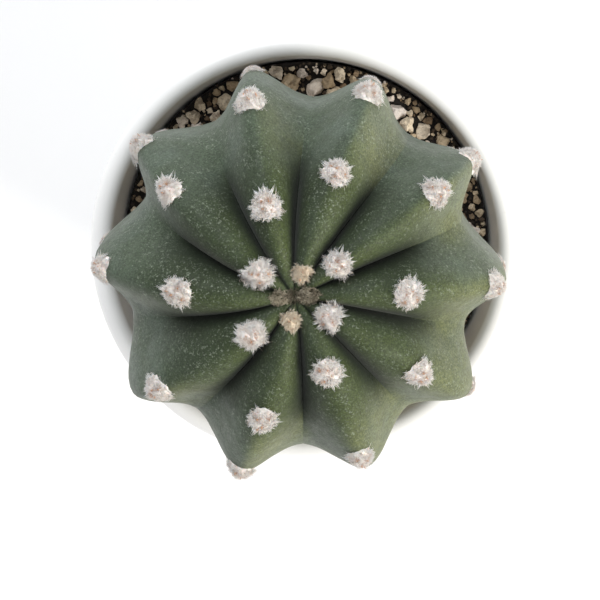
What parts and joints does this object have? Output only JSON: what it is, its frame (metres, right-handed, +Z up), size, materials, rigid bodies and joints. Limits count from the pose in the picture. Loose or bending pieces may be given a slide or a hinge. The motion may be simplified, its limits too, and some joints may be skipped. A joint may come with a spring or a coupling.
{
  "type": "potted round cactus",
  "caption": "Round ribbed cactus with woolly white tufts along its ribs, growing in gritty soil in a plain white tapered round pot.",
  "frame": {"origin": "centre of the pot's foot, on the surface that it stands on", "axes": "+Z up along the axis of the pot and the plant; +X points between two ribs' sides, one degree from the crest of rib 9"},
  "size_m": [0.08, 0.08, 0.119],
  "materials": {
    "white_glaze": "smooth satin white glaze",
    "potting_soil": "loose dark peat with grit",
    "green_skin": "matte grey-green waxy skin with fine pale speckles",
    "grey_wool": "matted grey-brown wool",
    "cream_wool": "dense pinkish-white wool with short brown spine tips",
    "pale_grit": "rough tan and cream pebbles"
  },
  "bodies": {
    "root": {"pot": "white_glaze", "soil": "potting_soil", "cactus_stem": "green_skin", "apex_wool": "grey_wool", "areole_rib01_1": "cream_wool", "areole_rib01_2": "cream_wool", "areole_rib01_3": "cream_wool", "areole_rib01_4": "cream_wool", "areole_rib02_1": "cream_wool", "areole_rib02_2": "cream_wool", "areole_rib02_3": "cream_wool", "areole_rib02_4": "cream_wool", "areole_rib03_1": "cream_wool", "areole_rib03_2": "cream_wool", "areole_rib03_3": "cream_wool", "areole_rib03_4": "cream_wool", "areole_rib04_1": "cream_wool", "areole_rib04_2": "cream_wool", "areole_rib04_3": "cream_wool", "areole_rib05_1": "cream_wool", "areole_rib05_2": "cream_wool", "areole_rib05_3": "cream_wool", "areole_rib06_1": "cream_wool", "areole_rib06_2": "cream_wool", "areole_rib06_3": "cream_wool", "areole_rib06_4": "cream_wool", "areole_rib07_1": "cream_wool", "areole_rib07_2": "cream_wool", "areole_rib07_3": "cream_wool", "areole_rib08_1": "cream_wool", "areole_rib08_2": "cream_wool", "areole_rib08_3": "cream_wool", "areole_rib08_4": "cream_wool", "areole_rib09_1": "cream_wool", "areole_rib09_2": "cream_wool", "areole_rib09_3": "cream_wool", "areole_rib10_1": "cream_wool", "areole_rib10_2": "cream_wool", "areole_rib10_3": "cream_wool", "areole_rib10_4": "cream_wool", "pebble_01": "pale_grit", "pebble_02": "pale_grit", "pebble_03": "pale_grit", "pebble_04": "pale_grit", "pebble_05": "pale_grit", "pebble_06": "pale_grit", "pebble_07": "pale_grit", "pebble_08": "pale_grit", "pebble_09": "pale_grit", "pebble_10": "pale_grit", "pebble_11": "pale_grit", "pebble_12": "pale_grit", "pebble_13": "pale_grit"}
  },
  "joints": []
}
